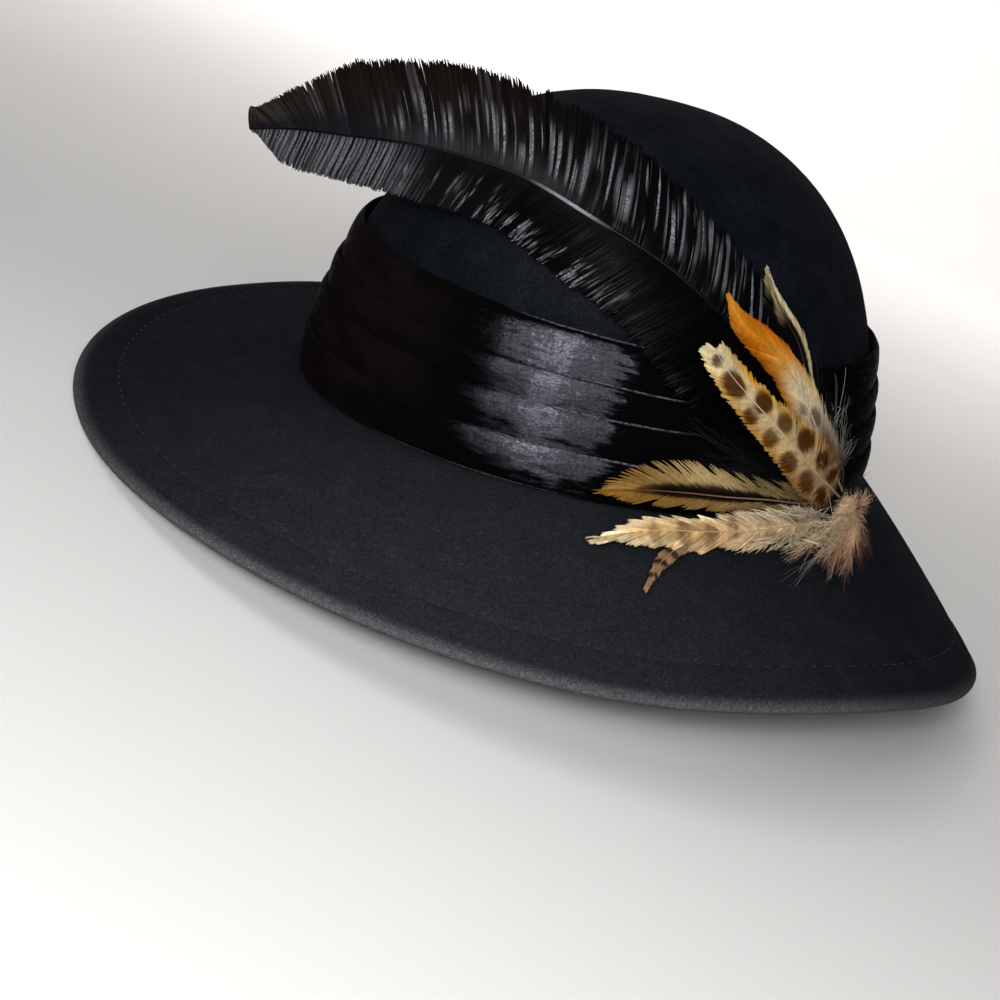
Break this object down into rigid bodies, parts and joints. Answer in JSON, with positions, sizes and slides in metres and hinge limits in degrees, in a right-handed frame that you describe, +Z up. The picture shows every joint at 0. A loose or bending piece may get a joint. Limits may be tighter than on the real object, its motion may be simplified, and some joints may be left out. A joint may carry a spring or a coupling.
{
  "type": "felt hat",
  "caption": "Black wool felt hat with a domed crown and a wide drooping brim, a pleated satin band, a long curved plume and a spray of small feathers on one side.",
  "frame": {"origin": "middle of the hat's bounding box, on the surface that its brim lies on", "axes": "+Z up, the hat's front towards -Y, the feather side towards +X"},
  "size_m": [0.2882, 0.3226, 0.1318],
  "materials": {
    "felt": "matt brushed wool felt",
    "satin": "smooth silk-like satin, pleated",
    "pad": "matt felt pad",
    "plume": "glossy black barbs on a black shaft",
    "spotted": "golden buff feather with dark brown spots",
    "orange": "orange feather, cream towards its quill",
    "edged": "black feather with a cream edge",
    "golden": "golden feather with a dark middle stripe",
    "cream": "cream feather with brown bars",
    "barred": "small buff feather with dark bars",
    "dark_down": "soft black down",
    "beige_down": "soft beige and brown down"
  },
  "bodies": {
    "root": {"crown": "felt", "brim": "felt", "satin_band": "satin", "binding_pad": "pad", "plume": "plume", "spotted_feather": "spotted", "orange_feather": "orange", "edged_feather": "edged", "golden_feather": "golden", "cream_feather": "cream", "barred_feather": "barred", "dark_down": "dark_down", "beige_down": "beige_down"}
  },
  "joints": []
}
